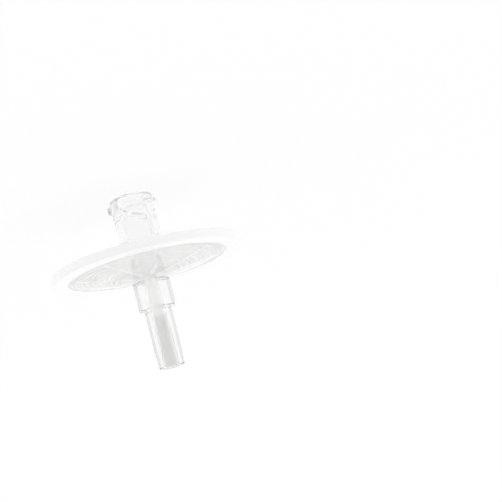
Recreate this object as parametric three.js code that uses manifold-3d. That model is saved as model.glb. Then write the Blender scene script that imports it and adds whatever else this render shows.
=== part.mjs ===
// Syringe filter of the 25 mm membrane class, standing on its inlet.
//
// Two clear polypropylene housings clamp a glass-fibre prefilter and a membrane between
// them, and a ring moulded round both flanges holds the stack shut. Liquid enters at the
// female Luer lock and leaves at the male Luer slip.
//
// Frame: millimetres, origin at the centre of the inlet's mouth, +Z towards the outlet.

import * as THREE from 'three';
import { mergeVertices } from 'three/addons/utils/BufferGeometryUtils.js';
import Module from 'manifold-3d';

const wasm = await Module();
wasm.setup();

// Filter stack.
const MEMBRANE_DIAMETER = 25;
const MEMBRANE_THICKNESS = 0.15;
const PREFILTER_THICKNESS = 0.35;

// Flanges of both housings and the ring moulded round them.
const CLAMP_WIDTH = 0.8; // width of the stack's edge held between the two lands
const FLANGE_MARGIN = 1; // flange beyond the stack's edge
const FLANGE_THICKNESS = 0.3;
const RING_WALL = 1.45; // outside the flanges
const RING_LIP_REACH = 1; // how far each lip reaches in over its flange
const RING_LIP_THICKNESS = 0.25;
const RING_INLET_ROUND = 0.5; // of the ring's outer edge on the inlet side
const RING_OUTLET_ROUND = 0.25; // and on the outlet side
const RING_CLEARANCE = 0.05; // between the ring's and the housings' upright walls
const DOME_STEP = 0.12; // from the face of a lip down to the edge of its dome

// Inner faces: concentric ridges carry the stack, radial channels drain the grooves.
const RIDGE_PITCH = 0.8;
const RIDGE_WIDTH = 0.45; // at the floor; both sides slope up to one edge
const RIDGE_START_RADIUS = 4; // no ridge lies closer to the port
const GROOVE_EDGE_DEPTH = 0.25; // beside the land
const CHANNEL_COUNT = 8;
const CHANNEL_WIDTH = 0.7;
const CHANNEL_SINK = 0.12; // below the floor of the grooves

// Inlet housing: shallow dome, hub with a tapered socket, two thread flights.
const SOCKET_MOUTH_DIAMETER = 4.3;
const SOCKET_DEPTH = 7.5;
const SOCKET_FLOOR = 2.5; // from the end of the socket to the chamber
const LUER_TAPER = 0.06; // loss of diameter for each unit of length
const HUB_WALL = 1.2; // at the mouth
const HUB_ROOT_ROUND = 0.9;
const MOUTH_CHAMFER = 0.15;
const INLET_PORT_DIAMETER = 2;
const INLET_CENTRE_DEPTH = 0.35; // of the chamber at the port
const INLET_DOME_RISE = 1.4;
const THREAD_STARTS = 2;
const THREAD_LEAD = 5;
const THREAD_HEIGHT = 0.6;
const THREAD_CREST = 0.5;
const THREAD_ROOT = 1.5;
const THREAD_SWEEP = 165; // degrees
const THREAD_RUNOUT = 15; // degrees over which each end of a flight sinks into the hub
const THREAD_SETBACK = 0.25; // from the mouth to the first flank

// Outlet housing: shallow dome, collar, slip with a straight shank and a tapered end.
const OUTLET_DOME_RISE = 1.95;
const OUTLET_CENTRE_DEPTH = 0.45;
const OUTLET_BORE_DIAMETER = 1.5;
const PORT_FLARE = 0.4; // countersink where a port opens into its chamber
const COLLAR_DIAMETER = 5.8;
const COLLAR_LENGTH = 4.7;
const COLLAR_ROOT_ROUND = 0.5;
const COLLAR_CHAMFER = 0.25;
const SHANK_LENGTH = 4.2; // straight part of the slip, next to the collar
const TAPER_LENGTH = 5;
const SLIP_TIP_DIAMETER = 3.95;
const TIP_CHAMFER = 0.2;

// Fineness of the curves.
const TURN_SEGMENTS = 48;
const RIM_SEGMENTS = 72;
const ROUND_STEPS = 3;
const CHAMFER_STEPS = 1;

// Radii.
const membraneRadius = MEMBRANE_DIAMETER / 2;
const chamberRadius = membraneRadius - CLAMP_WIDTH;
const flangeRadius = membraneRadius + FLANGE_MARGIN;
const lipRadius = flangeRadius - RING_LIP_REACH;
const domeRadius = lipRadius - RING_CLEARANCE;
const ringBoreRadius = flangeRadius + RING_CLEARANCE;
const rimRadius = ringBoreRadius + RING_WALL;
const socketMouthRadius = SOCKET_MOUTH_DIAMETER / 2;
const socketEndRadius = socketMouthRadius - LUER_TAPER * SOCKET_DEPTH / 2;
const hubRadius = socketMouthRadius + HUB_WALL;
const inletPortRadius = INLET_PORT_DIAMETER / 2;
const outletBoreRadius = OUTLET_BORE_DIAMETER / 2;
const collarRadius = COLLAR_DIAMETER / 2;
const slipTipRadius = SLIP_TIP_DIAMETER / 2;
const shankRadius = slipTipRadius + LUER_TAPER * TAPER_LENGTH / 2;

// Heights, from the mouth up.
const inletFloor = SOCKET_DEPTH + SOCKET_FLOOR;
const inletSeat = inletFloor + INLET_CENTRE_DEPTH;
const inletFlange = inletSeat - FLANGE_THICKNESS;
const rimBottom = inletFlange - RING_LIP_THICKNESS;
const hubRoot = rimBottom - INLET_DOME_RISE;
const membraneSeat = inletSeat + PREFILTER_THICKNESS;
const outletSeat = membraneSeat + MEMBRANE_THICKNESS;
const outletFlange = outletSeat + FLANGE_THICKNESS;
const rimTop = outletFlange + RING_LIP_THICKNESS;
const collarRoot = rimTop + OUTLET_DOME_RISE;
const collarEnd = collarRoot + COLLAR_LENGTH;
const shankEnd = collarEnd + SHANK_LENGTH;
const slipTip = shankEnd + TAPER_LENGTH;

const UP = 1;
const DOWN = -1;

/** Arc that rounds one corner of an outline, tangent to both of its sides. */
function roundedCorner(before, corner, after) {
  const [radius, height, round = 0, steps = ROUND_STEPS] = corner;
  const point = new THREE.Vector2(radius, height);
  if (round === 0) return [point];
  const back = new THREE.Vector2(before[0], before[1]).sub(point);
  const ahead = new THREE.Vector2(after[0], after[1]).sub(point);
  const reach = 0.49 * Math.min(back.length(), ahead.length());
  back.normalize();
  ahead.normalize();
  const half = Math.acos(THREE.MathUtils.clamp(back.dot(ahead), -1, 1)) / 2;
  const run = Math.min(round / Math.tan(half), reach);
  const centre = back.clone().add(ahead).setLength(run / Math.cos(half));
  const from = back.multiplyScalar(run).sub(centre);
  const sweep = Math.PI - 2 * half;
  const side = Math.sign(from.cross(ahead.multiplyScalar(run).sub(centre)));
  return Array.from({ length: steps + 1 }, (_, step) => from.clone()
    .rotateAround(new THREE.Vector2(), side * sweep * step / steps)
    .add(centre)
    .add(point));
}

/** Closed outline through corners given as [radius, height, round, steps]. */
function outline(corners) {
  const count = corners.length;
  const points = corners.flatMap((corner, i) => roundedCorner(
    corners[(i + count - 1) % count],
    corner,
    corners[(i + 1) % count],
  ));
  return [...points, points[0].clone()];
}

/** Geometry turned about the Z axis from an outline. */
function turned(corners, segments = TURN_SEGMENTS) {
  return new THREE.LatheGeometry(outline(corners), segments).rotateX(Math.PI / 2);
}

/** Manifold solid of a closed geometry. */
function solid(geometry) {
  geometry.deleteAttribute('normal');
  geometry.deleteAttribute('uv');
  const merged = mergeVertices(geometry);
  return new wasm.Manifold(new wasm.Mesh({
    numProp: 3,
    vertProperties: new Float32Array(merged.attributes.position.array),
    triVerts: new Uint32Array(merged.index.array),
  }));
}

/** Named mesh of a manifold solid. */
function meshOf(name, body, material) {
  const { vertProperties, triVerts } = body.getMesh();
  const geometry = new THREE.BufferGeometry();
  geometry.setAttribute('position', new THREE.BufferAttribute(vertProperties, 3));
  geometry.setIndex(new THREE.BufferAttribute(triVerts, 1));
  geometry.computeVertexNormals();
  return namedMesh(name, geometry, material);
}

/** Named mesh of a geometry. */
function namedMesh(name, geometry, material) {
  const mesh = new THREE.Mesh(geometry, material);
  mesh.name = name;
  return mesh;
}

/** Depth of a chamber's floor below its seat, which grows evenly towards the port. */
function floorDepth(radius, portRadius, centreDepth) {
  const share = (chamberRadius - radius) / (chamberRadius - portRadius);
  return THREE.MathUtils.lerp(GROOVE_EDGE_DEPTH, centreDepth, share);
}

/** Ridged inner face from the land in to the port, floor on the given side of the seat. */
function ridgedFace(seat, side, portRadius, centreDepth) {
  const onFloor = (radius) => [radius, seat + side * floorDepth(radius, portRadius, centreDepth)];
  const ridges = [];
  for (let edge = chamberRadius - RIDGE_PITCH; edge > RIDGE_START_RADIUS; edge -= RIDGE_PITCH) {
    ridges.push(onFloor(edge + RIDGE_WIDTH / 2), [edge, seat], onFloor(edge - RIDGE_WIDTH / 2));
  }
  return [
    [chamberRadius, seat],
    onFloor(chamberRadius - RIDGE_WIDTH / 2),
    ...ridges,
    onFloor(portRadius + PORT_FLARE),
    [portRadius, seat + side * (centreDepth + PORT_FLARE)],
  ];
}

/** Cutter for the radial channels of one inner face. */
function channelCutter(seat, side, portRadius, centreDepth) {
  const end = chamberRadius - RIDGE_WIDTH;
  const bottom = (radius) => seat
    + side * (floorDepth(radius, portRadius, centreDepth) + CHANNEL_SINK);
  const open = seat - side * RIDGE_PITCH;
  const section = new THREE.Shape([
    new THREE.Vector2(0, open),
    new THREE.Vector2(end, open),
    new THREE.Vector2(end, bottom(end)),
    new THREE.Vector2(0, bottom(0)),
  ]);
  let cutter = null;
  for (let i = 0; i < CHANNEL_COUNT; i += 1) {
    const channel = solid(new THREE.ExtrudeGeometry(section, { depth: CHANNEL_WIDTH, bevelEnabled: false })
      .translate(0, 0, -CHANNEL_WIDTH / 2)
      .rotateX(Math.PI / 2)
      .rotateZ(i * 2 * Math.PI / CHANNEL_COUNT));
    cutter = cutter ? cutter.add(channel) : channel;
  }
  return cutter;
}

/**
 * One flight of the lock thread. A ring of the thread's section rides up a helix over the
 * sweep; at both ends it sinks into the hub wall, inside which it returns to its start.
 */
function threadFlight(start) {
  const buried = Math.min(THREAD_HEIGHT, HUB_WALL) / 2;
  const ring = turned([
    [hubRadius - buried, -THREAD_ROOT / 2],
    [hubRadius + THREAD_HEIGHT, -THREAD_CREST / 2],
    [hubRadius + THREAD_HEIGHT, THREAD_CREST / 2],
    [hubRadius - buried, THREAD_ROOT / 2],
  ]);
  const position = ring.getAttribute('position');
  const corner = new THREE.Vector3();
  for (let i = 0; i < position.count; i += 1) {
    corner.fromBufferAttribute(position, i);
    const angle = THREE.MathUtils.euclideanModulo(Math.atan2(corner.y, corner.x) + 1e-6, 2 * Math.PI);
    const degrees = THREE.MathUtils.radToDeg(angle);
    const radius = Math.hypot(corner.x, corner.y);
    const rise = Math.min(degrees, THREAD_SWEEP - degrees) / THREAD_RUNOUT;
    const height = THREE.MathUtils.clamp(rise, 0, 1);
    const sunk = hubRadius - buried / 2;
    const lifted = radius > hubRadius ? THREE.MathUtils.lerp(sunk, radius, height) : radius;
    const climb = degrees < THREAD_SWEEP
      ? degrees / 360
      : THREAD_SWEEP / 360 * (360 - degrees) / (360 - THREAD_SWEEP);
    corner.multiply(new THREE.Vector3(lifted / radius, lifted / radius, 1));
    corner.z += THREAD_SETBACK + THREAD_ROOT / 2 + THREAD_LEAD * climb;
    position.setXYZ(i, corner.x, corner.y, corner.z);
  }
  return solid(ring.rotateZ(start * 2 * Math.PI / THREAD_STARTS));
}

/** Inlet housing: mouth down, ridged face up. */
function inletHousing() {
  let body = solid(turned([
    [socketMouthRadius + MOUTH_CHAMFER, 0],
    [hubRadius, 0, MOUTH_CHAMFER, CHAMFER_STEPS],
    [hubRadius, hubRoot, HUB_ROOT_ROUND],
    [domeRadius, rimBottom + DOME_STEP],
    [domeRadius, inletFlange],
    [flangeRadius, inletFlange],
    [flangeRadius, inletSeat],
    ...ridgedFace(inletSeat, DOWN, inletPortRadius, INLET_CENTRE_DEPTH),
    [inletPortRadius, SOCKET_DEPTH],
    [socketEndRadius, SOCKET_DEPTH],
    [socketMouthRadius - LUER_TAPER * MOUTH_CHAMFER / 2, MOUTH_CHAMFER],
  ]));
  body = body.subtract(channelCutter(inletSeat, DOWN, inletPortRadius, INLET_CENTRE_DEPTH));
  for (let start = 0; start < THREAD_STARTS; start += 1) {
    body = body.add(threadFlight(start));
  }
  return body;
}

/** Outlet housing: ridged face down, collar and tapered slip up. */
function outletHousing() {
  const body = solid(turned([
    [flangeRadius, outletSeat],
    [flangeRadius, outletFlange],
    [domeRadius, outletFlange],
    [domeRadius, rimTop - DOME_STEP],
    [collarRadius, collarRoot, COLLAR_ROOT_ROUND],
    [collarRadius, collarEnd, COLLAR_CHAMFER, CHAMFER_STEPS],
    [shankRadius, collarEnd],
    [shankRadius, shankEnd],
    [slipTipRadius, slipTip, TIP_CHAMFER, CHAMFER_STEPS],
    [outletBoreRadius, slipTip],
    ...ridgedFace(outletSeat, UP, outletBoreRadius, OUTLET_CENTRE_DEPTH).reverse(),
  ]));
  return body.subtract(channelCutter(outletSeat, UP, outletBoreRadius, OUTLET_CENTRE_DEPTH));
}

/** Ring moulded round both flanges, with a lip over each. */
function sealingRing() {
  return solid(turned([
    [lipRadius, rimBottom],
    [rimRadius, rimBottom, RING_INLET_ROUND],
    [rimRadius, rimTop, RING_OUTLET_ROUND],
    [lipRadius, rimTop],
    [lipRadius, outletFlange],
    [ringBoreRadius, outletFlange],
    [ringBoreRadius, inletFlange],
    [lipRadius, inletFlange],
  ], RIM_SEGMENTS));
}

/** Flat disc of the stack, its underside at the given height. */
function stackDisc(name, bottom, thickness, material) {
  const disc = new THREE.CylinderGeometry(membraneRadius, membraneRadius, thickness, TURN_SEGMENTS);
  const mesh = namedMesh(name, disc.rotateX(Math.PI / 2), material);
  mesh.position.z = bottom + thickness / 2;
  return mesh;
}

const clearPolypropylene = new THREE.MeshStandardMaterial({
  color: 0xf1f1ee, roughness: 0.28, metalness: 0, transparent: true, opacity: 0.55,
});
const whiteMembrane = new THREE.MeshStandardMaterial({ color: 0xf7f6f3, roughness: 0.75, metalness: 0 });
const glassFibre = new THREE.MeshStandardMaterial({ color: 0xf3f2ef, roughness: 0.95, metalness: 0 });

const syringeFilter = new THREE.Group();
syringeFilter.add(
  meshOf('inlet_housing', inletHousing(), clearPolypropylene),
  stackDisc('prefilter_disc', inletSeat, PREFILTER_THICKNESS, glassFibre),
  stackDisc('membrane', membraneSeat, MEMBRANE_THICKNESS, whiteMembrane),
  meshOf('outlet_housing', outletHousing(), clearPolypropylene),
  meshOf('sealing_ring', sealingRing(), clearPolypropylene),
);

export default syringeFilter;
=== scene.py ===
"""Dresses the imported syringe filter: fine clear mouldings, filter discs and a white studio.

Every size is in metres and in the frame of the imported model: the filter stands on its
inlet at z = 0, and +Z runs along the flow to the outlet. Heights and outer radii are read
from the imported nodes; what the boxes can't tell is a field of the class that needs it.
"""

import enum
import logging
import math
from dataclasses import dataclass, field
from typing import Callable, Sequence

import bmesh
import bpy
import numpy as np
from mathutils import Matrix, Vector


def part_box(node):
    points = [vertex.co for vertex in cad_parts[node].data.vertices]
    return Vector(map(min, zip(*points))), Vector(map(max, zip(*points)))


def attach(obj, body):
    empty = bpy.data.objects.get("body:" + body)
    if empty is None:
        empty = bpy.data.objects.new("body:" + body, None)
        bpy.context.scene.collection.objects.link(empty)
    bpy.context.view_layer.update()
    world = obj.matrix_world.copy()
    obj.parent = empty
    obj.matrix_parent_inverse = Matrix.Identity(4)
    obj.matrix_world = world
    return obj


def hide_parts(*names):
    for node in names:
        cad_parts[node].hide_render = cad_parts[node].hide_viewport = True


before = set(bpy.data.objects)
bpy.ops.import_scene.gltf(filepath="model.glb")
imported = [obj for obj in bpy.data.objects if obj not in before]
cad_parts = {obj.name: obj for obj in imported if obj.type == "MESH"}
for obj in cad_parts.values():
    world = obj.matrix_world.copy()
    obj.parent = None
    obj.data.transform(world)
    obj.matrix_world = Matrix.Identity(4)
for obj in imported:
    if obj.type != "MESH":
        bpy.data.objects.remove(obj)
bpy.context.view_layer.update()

MM = 0.001
BODY = "root"

# Edges that bend more than this are shaded sharp.
SHARP_ANGLE = math.radians(28)

# Points near both ends of a straight run hold its shading flat: at most this far in, within
# this share of the run, and on no shorter run.
HOLD_REACH = 0.1 * MM
HOLD_SHARE = 0.12
HOLD_RUN = 0.12 * MM

# How near vertices are one, and points lie on the hub's wall or on a flat end.
MERGE_DISTANCE = 1e-8
WALL_REACH = 1e-7
END_REACH = 0.01 * MM

# Most of a side that one rounding may take, and of a sector that half a channel may take.
CORNER_SHARE = 0.49
CHANNEL_SHARE = 0.45

# Range that a noise's factor mostly covers.
NOISE_SPAN = (0.3, 0.7)

# Polypropylene: index of refraction, clouds and ripples per metre, depth of a ripple.
PLASTIC_IOR = 1.49
CLOUD_GRAIN = 220.0
RIPPLE_GRAIN = 900.0
RIPPLE_DEPTH = 0.004 * MM

# How often light may turn inside the clear walls, and off matte surfaces.
LIGHT_BOUNCES = 32
MATTE_BOUNCES = 10

log = logging.getLogger("syringe_filter")

Point = tuple[float, float]
Span = tuple[float, float]
Axes = tuple[float, float, float]
Tint = tuple[float, float, float]
Material = bpy.types.Material
Object = bpy.types.Object
Socket = bpy.types.NodeSocket
Warp = Callable[[np.ndarray, np.ndarray, np.ndarray], np.ndarray]


class Face(enum.Enum):
    """Which way a ridged inner face sinks from its seat."""

    DOWN = -1
    UP = 1


class Skin(enum.IntEnum):
    """Zones of a housing's surface, numbered as the mesh's material slots."""

    POLISHED = 0
    SATIN = 1
    BORE = 2
    CHANNEL = 3
    RIDGED = 4


class Slot(enum.Enum):
    """The record's material slots."""

    HOUSING = "clear_housing"
    RING = "sealing_ring"
    MEMBRANE = "membrane"
    PREFILTER = "glass_fibre"


# ---- outlines


@dataclass(frozen=True)
class Corner:
    """One corner of a turned outline.

    Attributes:
        radius: Distance from the axis.
        height: Height along the axis.
        rounding: Radius of the arc that replaces it, or 0 for a sharp corner.
        steps: Straight pieces of that arc.
    """

    radius: float
    height: float
    rounding: float = 0.0
    steps: int = 4


@dataclass(frozen=True)
class Ring:
    """One circle of vertices of a turned moulding.

    Attributes:
        radius: Distance from the axis.
        height: Height between the channels.
        channel_height: Height inside the radial channels, or None where there are none.
        skin: Zone of the surface that starts here.
    """

    radius: float
    height: float
    channel_height: float | None = None
    skin: Skin = Skin.POLISHED


def rounded(before: Corner, corner: Corner, after: Corner) -> list[Point]:
    """Replaces a corner by an arc tangent to both of its sides.

    Args:
        before: The corner that comes before it.
        corner: The corner to round.
        after: The corner that follows it.

    Returns:
        Points (radius, height) along the arc, or the corner itself if it is sharp.
    """
    here = np.array([corner.radius, corner.height])
    if corner.rounding <= 0:
        return [(corner.radius, corner.height)]
    back = np.array([before.radius, before.height]) - here
    ahead = np.array([after.radius, after.height]) - here
    reach = CORNER_SHARE * min(np.linalg.norm(back), np.linalg.norm(ahead))
    back /= np.linalg.norm(back)
    ahead /= np.linalg.norm(ahead)
    half = math.acos(float(np.clip(back @ ahead, -1.0, 1.0))) / 2
    run = min(corner.rounding / math.tan(half), reach)
    middle = back + ahead
    centre = middle / np.linalg.norm(middle) * run / math.cos(half)
    start = back * run - centre
    end = ahead * run - centre
    side = math.copysign(1.0, start[0] * end[1] - start[1] * end[0])
    sweep = side * (math.pi - 2 * half)
    points = []
    for step in range(corner.steps + 1):
        turn = sweep * step / corner.steps
        cosine, sine = math.cos(turn), math.sin(turn)
        radius = cosine * start[0] - sine * start[1]
        height = sine * start[0] + cosine * start[1]
        points.append((here[0] + centre[0] + radius, here[1] + centre[1] + height))
    return points


def held(points: Sequence[Point], closed: bool = False) -> list[Point]:
    """Adds a point near both ends of every straight run, so that shading bends only there.

    Args:
        points: Points (radius, height) in order.
        closed: Whether the last point joins the first.

    Returns:
        The points with the added ones.
    """
    made: list[Point] = []
    for i, (here, ahead) in enumerate(zip(points, [*points[1:], points[0]])):
        made.append(here)
        length = math.dist(here, ahead)
        if length < HOLD_RUN or (i == len(points) - 1 and not closed):
            continue
        share = min(HOLD_SHARE, HOLD_REACH / length)
        for part in (share, 1 - share):
            radius = here[0] + (ahead[0] - here[0]) * part
            made.append((radius, here[1] + (ahead[1] - here[1]) * part))
    return made


def outline(corners: Sequence[Corner], closed: bool = True) -> list[Point]:
    """Outline through the corners, with their roundings.

    Args:
        corners: Corners in order, counter-clockwise with the radius to the right.
        closed: Whether the last corner joins the first by a straight run.

    Returns:
        Points (radius, height) in order.
    """
    count = len(corners)
    points: list[Point] = []
    for i, corner in enumerate(corners):
        points += rounded(corners[i - 1], corner, corners[(i + 1) % count])
    return held(points, closed)


# ---- turned meshes


@dataclass(frozen=True)
class ChannelPattern:
    """Radial channels that cross the ridges of an inner face, and the angles that draw them.

    Attributes:
        count: Number of channels, evenly spread.
        width: Width of a channel, the same at every radius.
        sink: Depth of its floor below the floor between the ridges.
        steps_across: Straight pieces of a circle inside a channel.
        steps_between: Straight pieces of a circle between two channels.
    """

    count: int = 8
    width: float = 0.7 * MM
    sink: float = 0.12 * MM
    steps_across: int = 4
    steps_between: int = 26

    @property
    def in_channel(self) -> np.ndarray:
        """Mask over one circle's vertices: True inside a channel."""
        sector = [True] * (self.steps_across + 1) + [False] * (self.steps_between + 1)
        return np.array(sector * self.count)

    def angles(self, radius: float) -> np.ndarray:
        """Angles of one circle's vertices.

        Args:
            radius: The circle's radius, since a channel keeps its width at every radius.

        Returns:
            Angles in radians; both edges of a channel come twice, once for each height.
        """
        pitch = 2 * math.pi / self.count
        widest = math.sin(CHANNEL_SHARE * pitch)
        half = math.asin(min(self.width / 2 / max(radius, MERGE_DISTANCE), widest))
        across = np.linspace(-half, half, self.steps_across + 1)
        between = np.linspace(half, pitch - half, self.steps_between + 1)
        sector = np.concatenate([across, between])
        return np.concatenate([sector + pitch * i for i in range(self.count)])


def turned_mesh(
    name: str, rings: Sequence[Ring], pattern: ChannelPattern, warp: Warp | None = None
) -> Object:
    """Builds a closed moulding from circles of vertices.

    Args:
        name: Name of the new piece.
        rings: The circles, in the order of the closed outline.
        pattern: Where the radial channels run.
        warp: Gives what vertices at angles, heights and radii move out by, or None.

    Returns:
        The piece, smooth-shaded with its sharp edges marked, linked into the scene.
    """
    mask = pattern.in_channel
    grid = np.empty((len(rings), mask.size, 3))
    for i, ring in enumerate(rings):
        angle = pattern.angles(ring.radius)
        channel = ring.height if ring.channel_height is None else ring.channel_height
        height = np.where(mask, channel, ring.height)
        radius = np.full(mask.size, ring.radius)
        if warp is not None:
            radius = radius + warp(angle, height, radius)
        grid[i] = np.stack([radius * np.cos(angle), radius * np.sin(angle), height], axis=1)
    rows, columns = np.arange(len(rings))[:, None], np.arange(mask.size)[None, :]
    above, beside = np.roll(rows, -1), np.roll(columns, -1)
    corners = ((rows, columns), (rows, beside), (above, beside), (above, columns))
    faces = np.stack([(row * mask.size + column).ravel() for row, column in corners], axis=1)
    mesh = bpy.data.meshes.new(name)
    mesh.from_pydata(grid.reshape(-1, 3).tolist(), [], faces.tolist())
    skins = np.repeat([int(ring.skin) for ring in rings], mask.size).reshape(len(rings), -1)
    sunk = np.array([ring.channel_height is not None for ring in rings])
    floor = (sunk & np.roll(sunk, -1))[:, None] & (mask & np.roll(mask, -1))[None, :]
    skins = np.where(floor, int(Skin.CHANNEL), skins)
    mesh.polygons.foreach_set("material_index", skins.ravel().astype(np.int32))
    return finished(name, mesh)


def finished(name: str, mesh: bpy.types.Mesh) -> Object:
    """Merges doubled vertices, shades the mesh and links it as a piece.

    Args:
        name: Name of the piece.
        mesh: Its raw mesh.

    Returns:
        The linked object.
    """
    work = bmesh.new()
    work.from_mesh(mesh)
    bmesh.ops.remove_doubles(work, verts=work.verts, dist=MERGE_DISTANCE)
    bmesh.ops.dissolve_degenerate(work, edges=work.edges, dist=MERGE_DISTANCE)
    bmesh.ops.recalc_face_normals(work, faces=work.faces)
    loose = [edge for edge in work.edges if len(edge.link_faces) != 2]
    work.to_mesh(mesh)
    work.free()
    if loose:
        log.warning("%s has %d edges that are not shared by two faces", name, len(loose))
    mesh.polygons.foreach_set("use_smooth", np.ones(len(mesh.polygons), dtype=bool))
    mesh.set_sharp_from_angle(angle=SHARP_ANGLE)
    return linked(name, mesh)


def linked(name: str, data: bpy.types.ID) -> Object:
    """Makes an object and links it into the scene.

    Args:
        name: Name of the object.
        data: Its mesh, lamp or camera.

    Returns:
        The object.
    """
    made = bpy.data.objects.new(name, data)
    bpy.context.collection.objects.link(made)
    return made


def direction(azimuth: float, elevation: float = 0.0) -> Vector:
    """Unit vector from angles.

    Args:
        azimuth: Angle from +X about +Z, in degrees.
        elevation: Angle over the horizon, in degrees.

    Returns:
        The vector.
    """
    turn, rise = math.radians(azimuth), math.radians(elevation)
    level = math.cos(rise)
    return Vector((math.cos(turn) * level, math.sin(turn) * level, math.sin(rise)))


def rings_of(
    points: Sequence[Point], limit: float = math.inf, ends: Sequence[float] = ()
) -> list[Ring]:
    """Rings without channels through outline points, satin beyond a radius and on flat ends.

    Args:
        points: Points (radius, height) in order.
        limit: Radius within which the skin is polished.
        ends: Heights of the flat ends that are satin at every radius.

    Returns:
        The rings in the same order.
    """
    made: list[Ring] = []
    for radius, height in points:
        flat = any(abs(height - end) < END_REACH for end in ends)
        skin = Skin.SATIN if flat or radius > limit else Skin.POLISHED
        made.append(Ring(radius, height, None, skin))
    return made


# ---- finishes


@dataclass(frozen=True)
class NodeBench:
    """Short ways to lay shader nodes in one material or world.

    Attributes:
        tree: Its node tree, emptied.
    """

    tree: bpy.types.NodeTree

    @classmethod
    def of(cls, owner: Material | bpy.types.World) -> "NodeBench":
        """Empties a node tree and opens a bench on it.

        Args:
            owner: The material or world that has the tree.

        Returns:
            The bench.
        """
        owner.use_nodes = True
        owner.node_tree.nodes.clear()
        return cls(owner.node_tree)

    def node(self, kind: str, **values: object) -> bpy.types.Node:
        """Adds one node.

        Args:
            kind: The node's type name, without the ShaderNode prefix.
            values: Attributes of the node, or defaults of its inputs by their names with
                spaces written as underscores.

        Returns:
            The new node.
        """
        made = self.tree.nodes.new("ShaderNode" + kind)
        for key, value in values.items():
            label = key.replace("_", " ")
            if label in made.inputs:
                made.inputs[label].default_value = value
            else:
                setattr(made, key, value)
        return made

    def link(self, source: Socket, target: Socket) -> None:
        """Links one socket to another."""
        self.tree.links.new(source, target)

    def output(self, kind: str, shader: Socket) -> None:
        """Ends the tree in a kind of output, fed by a shader."""
        self.link(shader, self.node(kind).inputs["Surface"])

    def noise(self, scale: float, detail: float, roughness: float = 0.5) -> Socket:
        """Noise over the piece's own metres.

        Args:
            scale: Grains per metre.
            detail: Octaves of finer grain.
            roughness: How strong the finer grain is.

        Returns:
            The noise's factor socket.
        """
        place = self.node("TexCoord")
        grain = self.node("TexNoise", Scale=scale, Detail=detail, Roughness=roughness)
        self.link(place.outputs["Object"], grain.inputs["Vector"])
        return grain.outputs["Fac"]

    def distance(self, along: Axes) -> Socket:
        """Distance from the origin.

        Args:
            along: 1 for each of X, Y and Z that counts, else 0.

        Returns:
            The socket of the distance in metres.
        """
        place = self.node("TexCoord")
        flat = self.node("VectorMath", operation="MULTIPLY")
        flat.inputs[1].default_value = along
        self.link(place.outputs["Object"], flat.inputs[0])
        reach = self.node("VectorMath", operation="LENGTH")
        self.link(flat.outputs["Vector"], reach.inputs[0])
        return reach.outputs["Value"]

    def ramp(self, source: Socket, span: Span, onto: Span) -> Socket:
        """Maps a value evenly from one span onto another, and holds it beyond the ends.

        Args:
            source: The value's socket.
            span: The two values that it comes from.
            onto: The two values that it becomes.

        Returns:
            The socket of the new value.
        """
        mapped = self.node("MapRange", From_Min=span[0], From_Max=span[1])
        mapped.inputs["To Min"].default_value = onto[0]
        mapped.inputs["To Max"].default_value = onto[1]
        self.link(source, mapped.inputs["Value"])
        return mapped.outputs["Result"]

    def combined(self, operation: str, first: Socket, second: Socket) -> Socket:
        """Joins two values.

        Args:
            operation: How, such as MAXIMUM.
            first: Socket of one value.
            second: Socket of the other.

        Returns:
            The socket of the result.
        """
        made = self.node("Math", operation=operation)
        self.link(first, made.inputs[0])
        self.link(second, made.inputs[1])
        return made.outputs["Value"]

    def mix(self, factor: Socket, colour: Socket, other: Tint) -> Socket:
        """Blends a colour towards a plain one.

        Args:
            factor: Socket of the plain colour's share.
            colour: Socket of the first colour.
            other: The plain colour.

        Returns:
            The blended colour's socket.
        """
        made = self.node("Mix", data_type="RGBA")
        first, second = (slot for slot in made.inputs if slot.type == "RGBA")
        second.default_value = (*other, 1.0)
        self.link(factor, made.inputs[0])
        self.link(colour, first)
        return next(slot for slot in made.outputs if slot.type == "RGBA")

    def tint(self, source: Socket, dark: Tint, light: Tint) -> Socket:
        """Colour between two tints.

        Args:
            source: Socket of a noise's factor, which drives it.
            dark: Tint where the factor is low.
            light: Tint where it is high.

        Returns:
            The colour's socket.
        """
        ramp = self.node("ValToRGB")
        for stop, position, colour in zip(ramp.color_ramp.elements, NOISE_SPAN, (dark, light)):
            stop.position = position
            stop.color = (*colour, 1.0)
        self.link(source, ramp.inputs["Fac"])
        return ramp.outputs["Color"]

    def bump(self, source: Socket, depth: float, strength: float) -> Socket:
        """Bump of a real depth.

        Args:
            source: Socket of the factor that drives it.
            depth: Its depth in metres.
            strength: Share of it that is felt.

        Returns:
            The normal's socket.
        """
        made = self.node("Bump", Strength=strength, Distance=depth)
        self.link(source, made.inputs["Height"])
        return made.outputs["Normal"]

    def seen(self) -> Socket:
        """Factor for rays that show the background: direct, mirrored or let through.

        Returns:
            The socket of the factor, which is 1 for them and else 0.
        """
        rays = self.node("LightPath").outputs
        either = self.combined("MAXIMUM", rays["Is Camera Ray"], rays["Is Glossy Ray"])
        return self.combined("MAXIMUM", either, rays["Is Transmission Ray"])


@dataclass(frozen=True)
class Fade:
    """A finish's even change across a piece: across a dome from its middle to its edge, and in a
    bore the painted light inside the collar.

    Attributes:
        along: 1 for each of X, Y and Z that the distance from the origin counts, else 0.
        span: Distances where the change begins and is complete.
        tint: Tint before it, which turns the finish's own after it.
    """

    along: Axes
    span: Span
    tint: Tint

    def share(self, bench: NodeBench) -> Socket:
        """Factor that is 1 before the change and 0 after it."""
        return bench.ramp(bench.distance(self.along), self.span, (1.0, 0.0))


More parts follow.
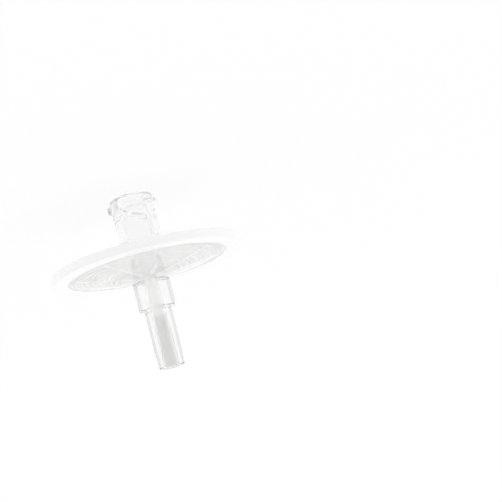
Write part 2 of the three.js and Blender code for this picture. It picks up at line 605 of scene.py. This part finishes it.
@dataclass(frozen=True)
class ClearMoulding:
    """Natural polypropylene, smooth from the mould: from nearly clear to fully milky.

    Attributes:
        name: Name of the material.
        dark: Tint of its denser patches.
        light: Tint of its clearer patches.
        edge: Tint that it takes where it is seen at a grazing angle: painted shade where it is
            darker than the skin's tints, a painted sheen where it is lighter.
        painted_edge_span: Where that tint begins and is complete, from 0 for facing the eye to 1.
        clarity: Share of light that goes through, from 0 for milky to 1; the milk takes the rest.
        gloss: Least and greatest roughness of the skin.
        ripple: Strength of the mould's fine ripple.
        fade: How the finish changes across the piece, or None.
    """

    name: str
    dark: Tint = (0.975, 0.98, 0.98)
    light: Tint = (0.99, 0.99, 0.988)
    edge: Tint = (0.7, 0.705, 0.71)
    painted_edge_span: Span = (0.36, 0.43)
    clarity: float = 0.9
    gloss: Span = (0.03, 0.07)
    ripple: float = 0.05
    fade: Fade | None = None

    def material(self) -> Material:
        """Makes the material.

        Returns:
            One shader with clouds in its tint and gloss, the mould's ripple and the edge tint:
            painted grazing-angle shade where it is darker than the tints, painted sheen where it
            is lighter.
        """
        made = bpy.data.materials.new(self.name)
        bench = NodeBench.of(made)
        cloud = bench.noise(CLOUD_GRAIN, detail=3.0)
        clear = bench.node("BsdfPrincipled", IOR=PLASTIC_IOR, Transmission_Weight=self.clarity)
        tint = bench.tint(cloud, self.dark, self.light)
        gloss = bench.ramp(cloud, NOISE_SPAN, self.gloss)
        if self.fade is not None:
            tint = bench.mix(self.fade.share(bench), tint, self.fade.tint)
        # The edge tint paints shade at grazing angles, and a sheen where it is lighter than the
        # skin.
        grazing = bench.node("LayerWeight", Blend=0.5)
        rim = bench.ramp(grazing.outputs["Facing"], self.painted_edge_span, (0.0, 1.0))
        bench.link(bench.mix(rim, tint, self.edge), clear.inputs["Base Color"])
        bench.link(gloss, clear.inputs["Roughness"])
        ripple = bench.bump(bench.noise(RIPPLE_GRAIN, detail=2.0), RIPPLE_DEPTH, self.ripple)
        bench.link(ripple, clear.inputs["Normal"])
        bench.output("OutputMaterial", clear.outputs["BSDF"])
        return made


@dataclass(frozen=True)
class FilterPaper:
    """A white filter sheet: cast membrane or glass-fibre felt.

    Attributes:
        name: Name of the material.
        dark: Colour between its fibres or pores, where its relief is low: the sheet's grain with
            painted shade in the hollows.
        light: Colour of its surface.
        grain: Grains per metre.
        depth: Depth of its relief in metres.
        relief: Strength of that relief.
        gloss: Roughness between the fibres and on them.
    """

    name: str
    dark: Tint
    light: Tint
    grain: float
    depth: float
    relief: float = 0.6
    gloss: Span = (0.95, 0.75)

    def material(self) -> Material:
        """Makes the material.

        Returns:
            One matte shader with colour, roughness and relief from the sheet's grain.
        """
        made = bpy.data.materials.new(self.name)
        bench = NodeBench.of(made)
        sheet = bench.node("BsdfPrincipled")
        fibre = bench.noise(self.grain, detail=6.0, roughness=0.65)
        # The grain darkens the relief's hollows: painted shade, on top of the sheet's own tone.
        bench.link(bench.tint(fibre, self.dark, self.light), sheet.inputs["Base Color"])
        bench.link(bench.ramp(fibre, NOISE_SPAN, self.gloss), sheet.inputs["Roughness"])
        bench.link(bench.bump(fibre, self.depth, self.relief), sheet.inputs["Normal"])
        bench.output("OutputMaterial", sheet.outputs["BSDF"])
        return made


# Edge tints are painted grazing-angle shade where darker than a skin's tints and painted sheen
# where lighter; the polished skin keeps the default, a strong painted shade.
POLISHED_SKIN = ClearMoulding("polished_polypropylene")
HUB_SKIN = ClearMoulding(
    "hub_polypropylene",
    dark=(0.988, 0.99, 0.99),
    light=(0.998, 0.998, 0.997),
    # Painted shade at grazing angles.
    edge=(0.97, 0.972, 0.973),
)
RIDGED_SKIN = ClearMoulding(
    "ridged_polypropylene",
    dark=(0.988, 0.99, 0.988),
    light=(0.998, 0.998, 0.996),
    # Faint painted shade at grazing angles.
    edge=(0.985, 0.985, 0.985),
    clarity=0.35,
    gloss=(0.18, 0.26),
)
SATIN_SKIN = ClearMoulding(
    "satin_polypropylene",
    dark=(0.988, 0.99, 0.988),
    light=(0.998, 0.998, 0.996),
    # Painted sheen at grazing angles.
    edge=(0.999, 0.999, 0.999),
    painted_edge_span=(0.6, 0.78),
    clarity=1.0,
    gloss=(0.05, 0.09),
    # A trace darker over the middle than at the dome's edge.
    fade=Fade((1.0, 1.0, 0.0), span=(8.5 * MM, 12.2 * MM), tint=(0.96, 0.962, 0.96)),
)
BORE_SHADE_SKIN = ClearMoulding(
    "bore_painted_shade",
    # Painted shade: the grey tints stand for the darker surroundings seen down the bore.
    dark=(0.775, 0.775, 0.77),
    light=(0.825, 0.825, 0.82),
    # Painted grazing-angle tint, lighter than the painted grey.
    edge=(0.86, 0.86, 0.86),
    painted_edge_span=(0.6, 0.9),
    clarity=0.45,
    gloss=(0.1, 0.16),
    # Painted light: lighter inside the collar, where the milky disc would light it, and the
    # painted grey from just beyond it.
    fade=Fade((0.0, 0.0, 1.0), span=(18.8 * MM, 19.6 * MM), tint=(0.985, 0.985, 0.98)),
)
CHANNEL_SKIN = ClearMoulding(
    "frosted_polypropylene",
    dark=(0.992, 0.992, 0.992),
    light=(0.998, 0.998, 0.998),
    # Faint painted shade at grazing angles.
    edge=(0.99, 0.99, 0.99),
    clarity=0.25,
    gloss=(0.4, 0.5),
)
RING_SKIN = ClearMoulding(
    "milky_polypropylene",
    dark=(0.99, 0.992, 0.993),
    light=(0.997, 0.997, 0.997),
    # Faint painted shade at grazing angles.
    edge=(0.99, 0.99, 0.99),
    clarity=0.0,
    gloss=(0.14, 0.22),
)
# What both housings wear apart from their polished skin, in the order of the zones.
SHARED_SKINS = (SATIN_SKIN, BORE_SHADE_SKIN, CHANNEL_SKIN, RIDGED_SKIN)

MEMBRANE_SHEET = FilterPaper(
    "cast_membrane",
    dark=(0.98, 0.98, 0.978),
    light=(0.995, 0.995, 0.993),
    grain=9000.0,
    depth=0.01 * MM,
)
FIBRE_SHEET = FilterPaper(
    "glass_fibre_felt",
    dark=(0.96, 0.96, 0.95),
    light=(0.99, 0.99, 0.985),
    grain=5000.0,
    depth=0.03 * MM,
)


# ---- pieces


@dataclass
class Piece:
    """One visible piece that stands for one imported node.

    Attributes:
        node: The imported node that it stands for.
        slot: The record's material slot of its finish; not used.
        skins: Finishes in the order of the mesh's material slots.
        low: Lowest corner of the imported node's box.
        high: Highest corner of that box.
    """

    node: str
    slot: Slot
    skins: tuple[ClearMoulding | FilterPaper, ...]
    low: Vector = field(init=False)
    high: Vector = field(init=False)

    def __post_init__(self) -> None:
        """Reads the node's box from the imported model."""
        self.low, self.high = (Vector(corner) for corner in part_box(self.node))

    @property
    def name(self) -> str:
        """Name of the visible piece."""
        return self.node + "_finish"

    def build(self) -> Object:
        """Builds the mesh, in the way that each piece's class gives."""
        raise NotImplementedError

    def place(self, materials: dict[str, Material]) -> None:
        """Builds, dresses and fastens the piece.

        Args:
            materials: Materials by name; missing ones are made and added.
        """
        made = self.build()
        for skin in self.skins:
            if skin.name not in materials:
                materials[skin.name] = skin.material()
            made.data.materials.append(materials[skin.name])
        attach(made, BODY)
        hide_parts(self.node)
        log.info("%s: %d faces for %s", made.name, len(made.data.polygons), self.node)


@dataclass(frozen=True)
class InnerFace:
    """The ridged face that carries the filter stack inside a housing.

    Attributes:
        seat: Height of the lands and of the ridges' crests.
        side: Which way the face sinks from its seat.
        port_radius: Radius of the passage in its middle.
        centre_depth: Depth of the floor at the port.
        chamber_radius: Where the land starts.
        edge_depth: Depth of the floor beside the land.
        pitch: From ridge to ridge.
        ridge_width: Width of a ridge at the floor; both sides slope up to one edge.
        start_radius: No ridge lies closer to the port.
        flare: Countersink of the port.
        softness: Rounding of the ridges' edges.
        soft_steps: Straight pieces of that rounding.
    """

    seat: float
    side: Face
    port_radius: float
    centre_depth: float
    chamber_radius: float = 11.7 * MM
    edge_depth: float = 0.25 * MM
    pitch: float = 0.8 * MM
    ridge_width: float = 0.45 * MM
    start_radius: float = 4.0 * MM
    flare: float = 0.4 * MM
    softness: float = 0.04 * MM
    soft_steps: int = 3

    def depth(self, radius: float) -> float:
        """Depth of the floor at a radius: it grows evenly towards the port."""
        share = (self.chamber_radius - radius) / (self.chamber_radius - self.port_radius)
        return self.edge_depth + (self.centre_depth - self.edge_depth) * share

    def corners(self) -> list[Corner]:
        """Corners from the land in to the port.

        Returns:
            The outline of one radial section between two channels.
        """

        def floor(radius: float) -> Corner:
            """Corner on the floor at a radius."""
            height = self.seat + self.side.value * self.depth(radius)
            return Corner(radius, height, self.softness, self.soft_steps)

        def crown(radius: float) -> Corner:
            """Corner on a ridge's crest at a radius."""
            return Corner(radius, self.seat, self.softness, self.soft_steps)

        foot = self.ridge_width / 2
        made = [crown(self.chamber_radius), floor(self.chamber_radius - foot)]
        edge = self.chamber_radius - self.pitch
        while edge > self.start_radius:
            made += [floor(edge + foot), crown(edge), floor(edge - foot)]
            edge -= self.pitch
        made.append(floor(self.port_radius + self.flare))
        bottom = self.seat + self.side.value * (self.centre_depth + self.flare)
        made.append(Corner(self.port_radius, bottom))
        return made

    def rings(self, pattern: ChannelPattern, before: Corner, after: Corner) -> list[Ring]:
        """Rings of the face with its channels, from the land in to the port.

        Args:
            pattern: The channels' widths and places.
            before: The outline's corner before the face.
            after: The outline's corner after it.

        Returns:
            The rings, with two at the radius where the channels end.
        """
        corners = [before, *self.corners(), after]
        points: list[Point] = []
        for i in range(1, len(corners) - 1):
            points += rounded(corners[i - 1], corners[i], corners[i + 1])
        end = self.chamber_radius - self.ridge_width
        made: list[Ring] = []
        opened = False
        for radius, height in held(points):
            if radius <= end and not opened:
                opened = True
                edge = self.seat + self.side.value * self.depth(end)
                sunk = self.channel_floor(pattern, end, edge)
                made += [Ring(end, edge, None, Skin.RIDGED), Ring(end, edge, sunk, Skin.RIDGED)]
            channel = self.channel_floor(pattern, radius, height) if opened else None
            made.append(Ring(radius, height, channel, Skin.RIDGED))
        return made

    def channel_floor(self, pattern: ChannelPattern, radius: float, height: float) -> float:
        """Height of a channel's floor at a radius, or the face's own height if that is deeper."""
        sunk = self.seat + self.side.value * (self.depth(radius) + pattern.sink)
        return max(sunk, height) if self.side is Face.UP else min(sunk, height)


@dataclass(frozen=True)
class LockThread:
    """The two flights of the lock thread on the inlet's hub.

    Attributes:
        hub_radius: Radius of the hub that carries them.
        starts: Number of flights.
        lead: Climb in one whole turn.
        rise: Height of a flight over the hub.
        crest: Width of a flight's top.
        root: Width of a flight where it meets the hub.
        sweep: Angle that a flight covers, in degrees.
        runout: Angle over which each end sinks away, in degrees.
        setback: From the mouth to the first flank.
        slack: Angle that keeps the first vertex of a flight from wrapping round, in degrees.
    """

    hub_radius: float
    starts: int = 2
    lead: float = 5.0 * MM
    rise: float = 0.6 * MM
    crest: float = 0.5 * MM
    root: float = 1.166 * MM
    sweep: float = 165.0
    runout: float = 15.0
    setback: float = 0.417 * MM
    slack: float = 1e-4

    @property
    def top(self) -> float:
        """Height where the last flank ends."""
        return self.setback + self.root + self.lead * self.sweep / 360

    def warp(self, angle: np.ndarray, height: np.ndarray, radius: np.ndarray) -> np.ndarray:
        """Radius that the flights add to the hub's wall.

        Args:
            angle: Angles of the vertices in radians.
            height: Their heights.
            radius: Their radii before the thread is added.

        Returns:
            What each vertex moves out by.
        """
        added = np.zeros_like(angle)
        on_wall = np.abs(radius - self.hub_radius) < WALL_REACH
        for start in range(self.starts):
            degrees = np.mod(np.degrees(angle) - 360 / self.starts * start + self.slack, 360)
            run = np.clip(np.minimum(degrees, self.sweep - degrees) / self.runout, 0, 1)
            ease = run * run * (3 - 2 * run)
            middle = self.setback + self.root / 2 + self.lead * degrees / 360
            away = np.abs(height - middle)
            flank = np.clip((self.root / 2 - away) / (self.root - self.crest) * 2, 0, 1)
            added = np.maximum(added, self.rise * ease * flank)
        return np.where(on_wall, added, 0.0)


@dataclass
class Housing(Piece):
    """What both clear housings share: flange, dome and the channels of the ridged face.

    Attributes:
        ring_node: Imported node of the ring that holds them.
        pattern: The channels.
        dome_radius: Radius of the dome's edge, inside the ring's lip.
        dome_step: How far that edge stands inside the ring's end face.
        dome_round: Rounding of that edge.
        flange: Thickness of the flange that the ring clamps.
    """

    ring_node: str = "sealing_ring"
    pattern: ChannelPattern = ChannelPattern()
    dome_radius: float = 12.45 * MM
    dome_step: float = 0.12 * MM
    dome_round: float = 0.04 * MM
    flange: float = 0.3 * MM


@dataclass
class InletHousing(Housing):
    """Inlet housing: socket and thread below, ridged face above.

    Attributes:
        dome_rise: Height of the dome from the ring's end face to the hub.
        hub_radius: Radius of the hub.
        hub_round: Fillet between the hub and the dome.
        mouth_chamfer: Chamfers of the mouth, inside and out.
        socket_radius: Radius of the socket at its mouth.
        socket_depth: Depth of the socket.
        taper: Cone of the socket, as change of diameter over length.
        port_radius: Radius of the port from the socket to the ridged face.
        port_round: Rounding of the port where it leaves the socket.
        centre_depth: Depth of the ridged face at the port.
        thread_step: From circle to circle along the thread.
    """

    node: str = "inlet_housing"
    slot: Slot = Slot.HOUSING
    skins: tuple[ClearMoulding, ...] = (HUB_SKIN, *SHARED_SKINS)
    dome_rise: float = 1.4 * MM
    hub_radius: float = 3.35 * MM
    hub_round: float = 0.9 * MM
    mouth_chamfer: float = 0.15 * MM
    socket_radius: float = 2.15 * MM
    socket_depth: float = 7.5 * MM
    taper: float = 0.06
    port_radius: float = 1.0 * MM
    port_round: float = 0.1 * MM
    centre_depth: float = 0.35 * MM
    thread_step: float = 0.05 * MM

    def build(self) -> Object:
        """Builds the housing as one closed skin.

        Returns:
            The unfinished piece.
        """
        seat, flange_radius = self.high.z, self.high.x
        rim_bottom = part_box(self.ring_node)[0][2]
        hub_root = rim_bottom - self.dome_rise
        thread = LockThread(self.hub_radius)
        face = InnerFace(seat, Face.DOWN, self.port_radius, self.centre_depth)
        port_foot = Corner(self.port_radius, self.socket_depth, self.port_round, 3)
        hub_foot = Corner(self.hub_radius, self.mouth_chamfer)
        hub_top = Corner(self.hub_radius, hub_root, self.hub_round, 8)
        dome_edge = Corner(self.dome_radius, rim_bottom + self.dome_step, self.dome_round, 2)
        socket_end = self.socket_radius - self.taper * self.socket_depth / 2
        outside = [
            (self.socket_radius + self.mouth_chamfer, 0.0),
            (self.hub_radius - self.mouth_chamfer, 0.0),
            *((self.hub_radius, height) for height in self.wall_heights(thread)),
            *rounded(hub_foot, hub_top, dome_edge),
            *rounded(hub_top, dome_edge, Corner(self.dome_radius, seat)),
            (self.dome_radius, seat - self.flange),
            (flange_radius, seat - self.flange),
            (flange_radius, seat),
        ]
        inside = [
            *rounded(face.corners()[-1], port_foot, Corner(socket_end, self.socket_depth)),
            (socket_end, self.socket_depth),
            (self.socket_radius, self.mouth_chamfer),
        ]
        rings = rings_of(held(outside), self.hub_radius + self.hub_round)
        rings += face.rings(self.pattern, Corner(flange_radius, seat), port_foot)
        rings += rings_of(held(inside))
        return turned_mesh(self.name, rings, self.pattern, thread.warp)

    def wall_heights(self, thread: LockThread) -> list[float]:
        """Heights of the hub's circles from its foot to just above the thread."""
        steps = math.ceil((thread.top + self.thread_step - self.mouth_chamfer) / self.thread_step)
        return [self.mouth_chamfer + self.thread_step * i for i in range(steps + 1)]


@dataclass
class OutletHousing(Housing):
    """Outlet housing: ridged face below, collar and slip above.

    Attributes:
        dome_rise: Height of the dome from the ring's end face to the collar.
        collar_radius: Radius of the collar.
        collar_length: Its length.
        collar_round: Fillet between the collar and the dome.
        collar_edge: Rounding of the collar's outer edge.
        shank_radius: Radius of the slip's straight shank.
        shank_length: Its length.
        shank_round: Fillet between the shank and the collar.
        tip_radius: Radius of the slip at its tip.
        tip_edge: Rounding of the tip's outer edge.
        bore_radius: Radius of the bore.
        bore_round: Rounding of the bore's mouth.
        centre_depth: Depth of the ridged face at the bore.
    """

    node: str = "outlet_housing"
    slot: Slot = Slot.HOUSING
    skins: tuple[ClearMoulding, ...] = (POLISHED_SKIN, *SHARED_SKINS)
    dome_rise: float = 1.95 * MM
    collar_radius: float = 2.9 * MM
    collar_length: float = 4.7 * MM
    collar_round: float = 0.5 * MM
    collar_edge: float = 0.25 * MM
    shank_radius: float = 2.125 * MM
    shank_length: float = 4.2 * MM
    shank_round: float = 0.12 * MM
    tip_radius: float = 1.975 * MM
    tip_edge: float = 0.2 * MM
    bore_radius: float = 0.75 * MM
    bore_round: float = 0.08 * MM
    centre_depth: float = 0.45 * MM

    def build(self) -> Object:
        """Builds the housing as one closed skin.

        Returns:
            The unfinished piece.
        """
        seat, tip, flange_radius = self.low.z, self.high.z, self.high.x
        rim_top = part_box(self.ring_node)[1][2]
        collar_root = rim_top + self.dome_rise
        collar_end = collar_root + self.collar_length
        shank_end = collar_end + self.shank_length
        face = InnerFace(seat, Face.UP, self.bore_radius, self.centre_depth)
        corners = [
            Corner(flange_radius, seat),
            Corner(flange_radius, seat + self.flange),
            Corner(self.dome_radius, seat + self.flange),
            Corner(self.dome_radius, rim_top - self.dome_step, self.dome_round, 2),
            Corner(self.collar_radius, collar_root, self.collar_round, 6),
            Corner(self.collar_radius, collar_end, self.collar_edge, 4),
            Corner(self.shank_radius, collar_end, self.shank_round, 3),
            Corner(self.shank_radius, shank_end),
            Corner(self.tip_radius, tip, self.tip_edge, 4),
            Corner(self.bore_radius, tip, self.bore_round, 3),
        ]
        points = outline(corners, closed=False)
        rings = rings_of(points, self.collar_radius + MERGE_DISTANCE, (collar_end, tip))
        rings[-1] = Ring(rings[-1].radius, rings[-1].height, None, Skin.BORE)
        bore_end = Corner(self.bore_radius, tip - self.tip_edge)
        rings += face.rings(self.pattern, corners[0], bore_end)[::-1]
        return turned_mesh(self.name, rings, self.pattern)


@dataclass
class SealingRing(Piece):
    """Ring moulded round both flanges.

    Attributes:
        inner_nodes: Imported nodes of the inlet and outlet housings.
        pattern: The angles that draw its circles; it has no channels.
        lip_radius: How far in its two lips reach.
        lip_round: Rounding of the lips' edges.
        bore_radius: Radius of the groove that takes the flanges.
        flange: Thickness of one flange.
        inlet_edge: Rounding of the outer edge on the inlet side.
        outlet_edge: Rounding of the outer edge on the outlet side.
        play: Air left between the lips and the flanges.
    """

    node: str = "sealing_ring"
    slot: Slot = Slot.RING
    skins: tuple[ClearMoulding, ...] = (RING_SKIN,)
    inner_nodes: tuple[str, str] = ("inlet_housing", "outlet_housing")
    pattern: ChannelPattern = ChannelPattern(steps_across=2, steps_between=30)
    lip_radius: float = 12.46 * MM
    lip_round: float = 0.06 * MM
    bore_radius: float = 13.55 * MM
    flange: float = 0.3 * MM
    inlet_edge: float = 0.5 * MM
    outlet_edge: float = 0.25 * MM
    play: float = 0.008 * MM

    def build(self) -> Object:
        """Builds the ring from its section.

        Returns:
            The unfinished piece.
        """
        low, high, radius = self.low.z, self.high.z, self.high.x
        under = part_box(self.inner_nodes[0])[1][2] - self.flange - self.play
        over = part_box(self.inner_nodes[1])[0][2] + self.flange + self.play
        corners = [
            Corner(self.lip_radius, low, self.lip_round, 2),
            Corner(radius, low, self.inlet_edge, 8),
            Corner(radius, high, self.outlet_edge, 8),
            Corner(self.lip_radius, high, self.lip_round, 2),
            Corner(self.lip_radius, over),
            Corner(self.bore_radius, over),
            Corner(self.bore_radius, under),
            Corner(self.lip_radius, under),
        ]
        return turned_mesh(self.name, rings_of(outline(corners)), self.pattern)


@dataclass
class FilterDisc(Piece):
    """One flat disc of the filter stack.

    Attributes:
        edge: Rounding of its cut edge.
        play: Air left between it and what it lies against.
        middle: Radius of its innermost circle.
        circles: Circles from its middle to its edge.
        segments: Straight pieces of each circle.
    """

    edge: float = 0.03 * MM
    play: float = 0.008 * MM
    middle: float = 0.02 * MM
    circles: int = 24
    segments: int = 192

    def build(self) -> Object:
        """Builds the disc with a soft edge.

        Returns:
            The unfinished piece.
        """
        low, high, radius = self.low.z + self.play, self.high.z - self.play, self.high.x
        radii = np.linspace(self.middle, radius - 2 * self.edge, self.circles).tolist()
        corners = [Corner(reach, low) for reach in radii]
        corners += [Corner(radius, low, self.edge, 3), Corner(radius, high, self.edge, 3)]
        corners += [Corner(reach, high) for reach in radii[::-1]]
        work = bmesh.new()
        turns = [2 * math.pi * i / self.segments for i in range(self.segments)]
        circles = []
        for reach, z in outline(corners):
            spots = [(reach * math.cos(turn), reach * math.sin(turn), z) for turn in turns]
            circles.append([work.verts.new(spot) for spot in spots])
        for lower, upper in zip(circles, circles[1:]):
            for i in range(self.segments):
                j = (i + 1) % self.segments
                work.faces.new((lower[i], lower[j], upper[j], upper[i]))
        work.faces.new(circles[0][::-1])
        work.faces.new(circles[-1])
        mesh = bpy.data.meshes.new(self.name)
        work.to_mesh(mesh)
        work.free()
        return finished(self.name, mesh)


# ---- studio


@dataclass(frozen=True)
class Lamp:
    """A soft square lamp aimed at a point of the filter.

    Attributes:
        name: Name of the lamp.
        azimuth: Where it hangs, in degrees from +X.
        elevation: Its height over the horizon in degrees.
        distance: From the aim to the lamp.
        size: Length of its side.
        watts: Its power.
    """

    name: str
    azimuth: float
    elevation: float
    distance: float
    size: float
    watts: float

    def hang(self, aim: Vector) -> None:
        """Hangs the lamp.

        Args:
            aim: The point that it lights.
        """
        data = bpy.data.lights.new(self.name, "AREA")
        data.size = self.size
        data.energy = self.watts
        lamp = linked(self.name, data)
        away = direction(self.azimuth, self.elevation)
        lamp.location = aim + away * self.distance
        lamp.rotation_euler = (-away).to_track_quat("-Z", "Y").to_euler()


@dataclass(frozen=True)
class Studio:
    """White floor, white surroundings and soft lamps.

    Attributes:
        floor_size: Side of the floor.
        floor_albedo: Share of light that the floor sends back.
        floor_lift: Share of plain white in the floor where it is seen, near the filter.
        lift_span: Distances where that share begins to grow and is whole.
        ambient: Strength of the surroundings as light.
        dim_azimuth: Direction of the studio's dim side, in degrees from +X.
        dim_start: How far towards that side, 0 to 1, the dimming begins.
        dim_level: Strength of the surroundings there, for all but the view itself.
        lamps: The lamps.
    """

    floor_size: float = 4.0
    floor_albedo: float = 0.97
    floor_lift: float = 0.85
    lift_span: Span = (0.05, 0.2)
    ambient: float = 0.97
    dim_azimuth: float = -77.4
    dim_start: float = 0.5
    dim_level: float = 0.6
    lamps: tuple[Lamp, ...] = (
        Lamp("key_lamp", -150.0, 45.0, 0.6, 0.5, 0.3),
        Lamp("fill_lamp", 10.0, 30.0, 0.7, 0.6, 0.15),
    )

    def build(self, aim: Vector) -> None:
        """Builds the floor, the surroundings and the lamps.

        Args:
            aim: The point that the lamps light.
        """
        self.lay_floor()
        self.surround()
        for lamp in self.lamps:
            lamp.hang(aim)

    def lay_floor(self) -> None:
        """Lays the white floor, which keeps shadows."""
        half = self.floor_size / 2
        mesh = bpy.data.meshes.new("floor")
        square = [(-half, -half, 0), (half, -half, 0), (half, half, 0), (-half, half, 0)]
        mesh.from_pydata(square, [], [(0, 1, 2, 3)])
        floor = linked("floor", mesh)
        material = bpy.data.materials.new("white_floor")
        bench = NodeBench.of(material)
        matte = bench.node("BsdfDiffuse", Color=(*(self.floor_albedo,) * 3, 1.0))
        glow = bench.node("Emission")
        reach = bench.distance((1.0, 1.0, 0.0))
        white = bench.ramp(reach, self.lift_span, (self.floor_lift, 1.0))
        both = bench.node("MixShader")
        bench.link(bench.combined("MULTIPLY", bench.seen(), white), both.inputs["Fac"])
        bench.link(matte.outputs["BSDF"], both.inputs[1])
        bench.link(glow.outputs["Emission"], both.inputs[2])
        bench.output("OutputMaterial", both.outputs["Shader"])
        mesh.materials.append(material)

    def surround(self) -> None:
        """Sets the world: white where it is seen, softer as light and dimmer on one side."""
        world = bpy.data.worlds.new("white_studio")
        bpy.context.scene.world = world
        bench = NodeBench.of(world)
        level = bench.ramp(bench.seen(), (0.0, 1.0), (self.ambient, 1.0))
        facing = bench.node("VectorMath", operation="DOT_PRODUCT")
        facing.inputs[1].default_value = direction(self.dim_azimuth)
        bench.link(bench.node("TexCoord").outputs["Generated"], facing.inputs[0])
        dim = bench.ramp(facing.outputs["Value"], (self.dim_start, 1.0), (1.0, self.dim_level))
        viewed = bench.node("LightPath").outputs["Is Camera Ray"]
        strength = bench.combined("MULTIPLY", level, bench.combined("MAXIMUM", viewed, dim))
        glow = bench.node("Background", Color=(1.0, 1.0, 1.0, 1.0))
        bench.link(strength, glow.inputs["Strength"])
        bench.output("OutputWorld", glow.outputs["Background"])


@dataclass(frozen=True)
class Camera:
    """The camera: it looks at the outlet side from just above the disc's plane.

    Attributes:
        azimuth: Direction from the filter to the camera, in degrees from +X.
        elevation: Angle over the disc's plane in degrees.
        roll: Turn of the view in degrees; the outlet points down and to the right.
        distance: From the disc to the camera.
        span: Width of the view at the disc.
        place_x: Where the disc's centre stands across the view, from 0 to 1.
        place_y: Where it stands down the view.
        clip: Nearest and farthest distance that it sees.
    """

    azimuth: float = -77.4
    elevation: float = 11.0
    roll: float = 166.0
    distance: float = 0.25
    span: float = 77.6 * MM
    place_x: float = 0.2942
    place_y: float = 0.5335
    clip: Span = (0.01, 20.0)

    def stand(self, centre: Vector) -> None:
        """Sets up the camera and makes it the scene's own.

        Args:
            centre: Centre of the disc's outlet side.
        """
        data = bpy.data.cameras.new("camera")
        data.lens = data.sensor_width * self.distance / self.span
        data.clip_start, data.clip_end = self.clip
        camera = linked("camera", data)
        back = direction(self.azimuth, self.elevation)
        camera.location = centre + back * self.distance
        level = (-back).to_track_quat("-Z", "Y").to_matrix()
        turned = level @ Matrix.Rotation(math.radians(self.roll), 3, "Z")
        right = (self.place_x - 0.5) * self.span / self.distance
        up = (0.5 - self.place_y) * self.span / self.distance
        swing = Vector((right, up, -1.0)).rotation_difference(Vector((0.0, 0.0, -1.0)))
        camera.rotation_euler = (turned @ swing.to_matrix()).to_euler()
        bpy.context.scene.camera = camera


def main() -> None:
    """Builds the studio and every piece, and reports each one."""
    logging.basicConfig(level=logging.INFO, format="%(message)s")
    scene = bpy.context.scene
    scene.view_settings.view_transform = "Standard"
    scene.cycles.blur_glossy = 0.0
    scene.cycles.max_bounces = LIGHT_BOUNCES
    scene.cycles.glossy_bounces = LIGHT_BOUNCES
    scene.cycles.transmission_bounces = LIGHT_BOUNCES
    scene.cycles.diffuse_bounces = MATTE_BOUNCES
    disc_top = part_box("sealing_ring")[1][2]
    centre = Vector((0.0, 0.0, disc_top))
    Camera().stand(centre)
    Studio().build(centre)
    materials: dict[str, Material] = {}
    pieces = (
        InletHousing(),
        FilterDisc("prefilter_disc", Slot.PREFILTER, (FIBRE_SHEET,)),
        FilterDisc("membrane", Slot.MEMBRANE, (MEMBRANE_SHEET,)),
        OutletHousing(),
        SealingRing(),
    )
    for piece in pieces:
        piece.place(materials)


if __name__ == "__main__":
    main()
